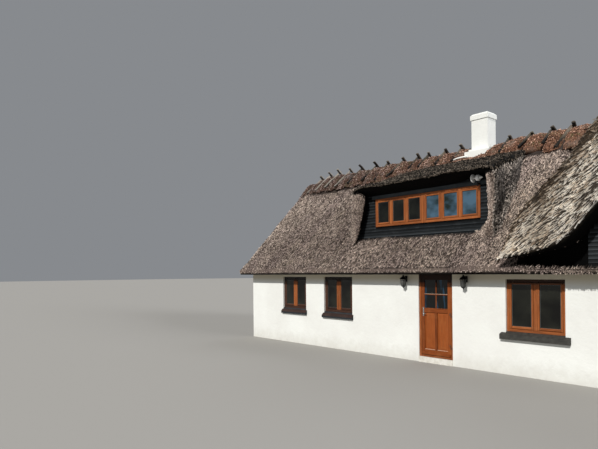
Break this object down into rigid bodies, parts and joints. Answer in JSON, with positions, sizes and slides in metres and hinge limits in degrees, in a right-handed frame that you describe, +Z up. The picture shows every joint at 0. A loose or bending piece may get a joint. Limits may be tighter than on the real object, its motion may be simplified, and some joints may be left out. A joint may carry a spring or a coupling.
{
  "type": "thatched cottage",
  "caption": "Low whitewashed cottage with a thick thatched roof, heather ridge, wide dormer, hooded gable dormer, chimney and hinged front door.",
  "frame": {"origin": "middle of the footprint's bounding box, at ground level", "axes": "+Z up, -Y out of the front wall with the door, +X to the right seen from the front"},
  "size_m": [18.5, 7.36, 6.55],
  "materials": {
    "render": "uneven matt whitewash on lime render",
    "reed": "weathered grey-brown reed thatch, rough",
    "pale_reed": "pale ragged reed stems, rough",
    "heather": "packed reddish-brown heather, rough",
    "black_boards": "black stained weatherboards, matt",
    "stained_wood": "orange-brown stained joinery, satin",
    "door_wood": "red-brown stained joinery, satin",
    "glass": "clear window glass",
    "slate": "dark grey slab, matt",
    "floor_timber": "plain floor boards",
    "pale_sill": "cream painted threshold, worn",
    "black_metal": "black powder coat",
    "steel": "brushed",
    "white_paint": "white enamel"
  },
  "bodies": {
    "house": {"front_wall_left": "render", "front_wall_right": "render", "back_wall": "render", "gable_wall_left": "render", "gable_wall_right": "render", "chimney": "render", "thatch_front_left": "reed", "thatch_front_under_dormer": "reed", "thatch_front_middle": "reed", "thatch_front_right": "reed", "thatch_skirt": "reed", "thatch_back": "reed", "dormer_thatch_top": "reed", "dormer_cheek_left": "reed", "dormer_cheek_right": "reed", "gable_thatch_left": "pale_reed", "gable_thatch_right": "pale_reed", "heather_ridge": "heather", "dormer_boards": "black_boards", "gable_front": "black_boards", "window_1": "stained_wood", "window_2": "stained_wood", "window_3": "stained_wood", "window_4": "stained_wood", "window_5": "stained_wood", "back_window_1": "stained_wood", "back_window_2": "stained_wood", "back_window_3": "stained_wood", "back_window_4": "stained_wood", "left_window_lower": "stained_wood", "left_window_upper": "stained_wood", "right_window_lower": "stained_wood", "right_window_upper": "stained_wood", "dormer_window_left": "stained_wood", "dormer_window_right": "stained_wood", "gable_window": "stained_wood", "door_frame": "stained_wood", "window_3_sill": "slate", "window_4_sill": "slate", "window_5_sill": "slate", "ground_floor": "floor_timber", "upper_floor": "floor_timber", "door_threshold": "pale_sill", "wall_lantern_left": "black_metal", "wall_lantern_right": "black_metal", "dormer_lamp": "white_paint"},
    "front_door": {"door_leaf": "door_wood", "door_glass": "glass", "door_handle": "steel"}
  },
  "joints": [
    {"name": "front_door_hinge", "type": "hinge", "parent": "house", "child": "front_door", "pos_m": [-1.3628, -2.966, 1.15], "axis": [0, 0, 1], "range_deg": [0, 100]}
  ]
}
